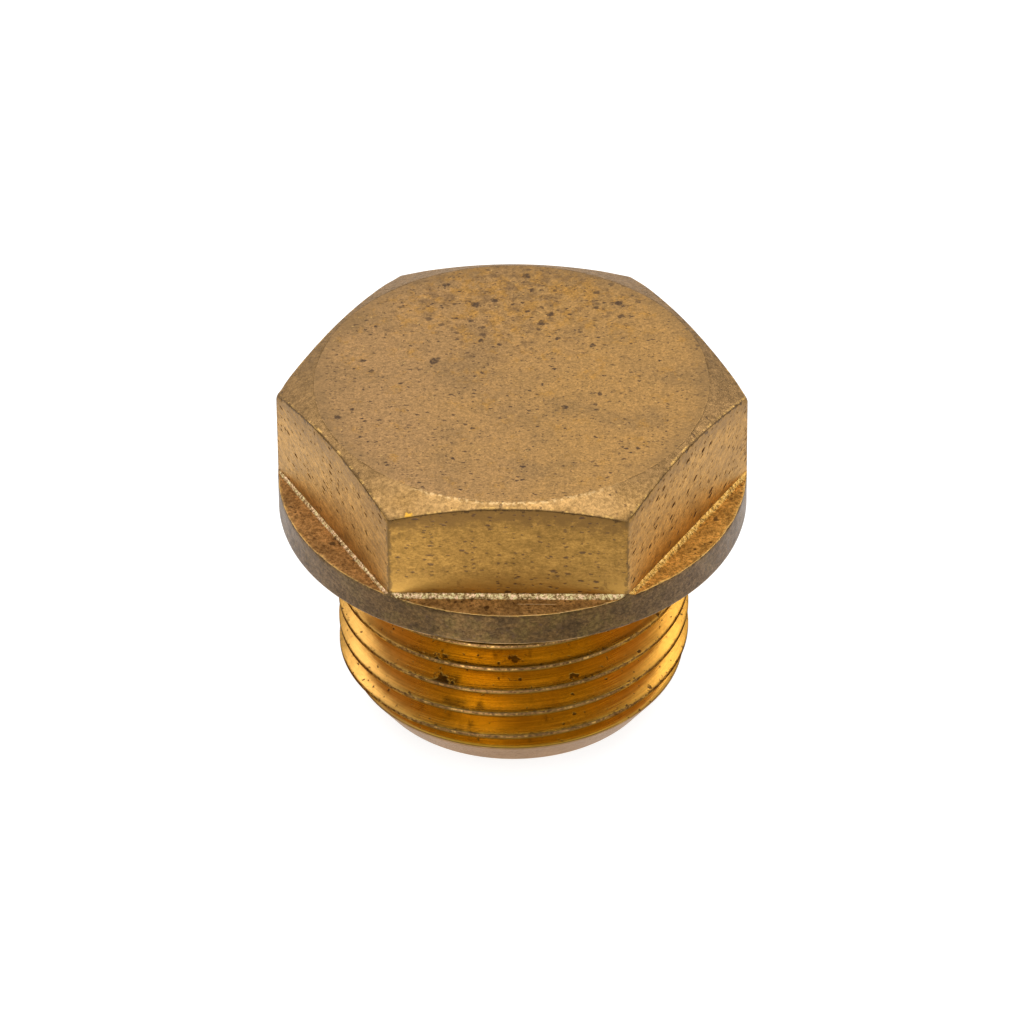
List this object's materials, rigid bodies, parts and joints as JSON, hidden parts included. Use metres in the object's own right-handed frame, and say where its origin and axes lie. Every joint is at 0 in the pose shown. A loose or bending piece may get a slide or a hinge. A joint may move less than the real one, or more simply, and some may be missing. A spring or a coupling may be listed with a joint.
{
  "type": "pipe plug",
  "caption": "Male screw plug with a hexagon head and a collar, in brass, with a parallel pipe thread and a captive rubber sealing ring.",
  "frame": {"origin": "centre of the flat end face of the thread, on the axis", "axes": "+Z along the axis from the threaded end to the hexagon head; -Y is the outward normal of one flat of the hexagon"},
  "size_m": [0.0218, 0.0218, 0.017],
  "materials": {
    "brass": "turned and milled, aged and slightly tarnished, with tool marks, pits and small nicks",
    "seal_rubber": "matt moulded rubber"
  },
  "bodies": {
    "root": {"plug_body": "brass", "sealing_ring": "seal_rubber"}
  },
  "joints": []
}
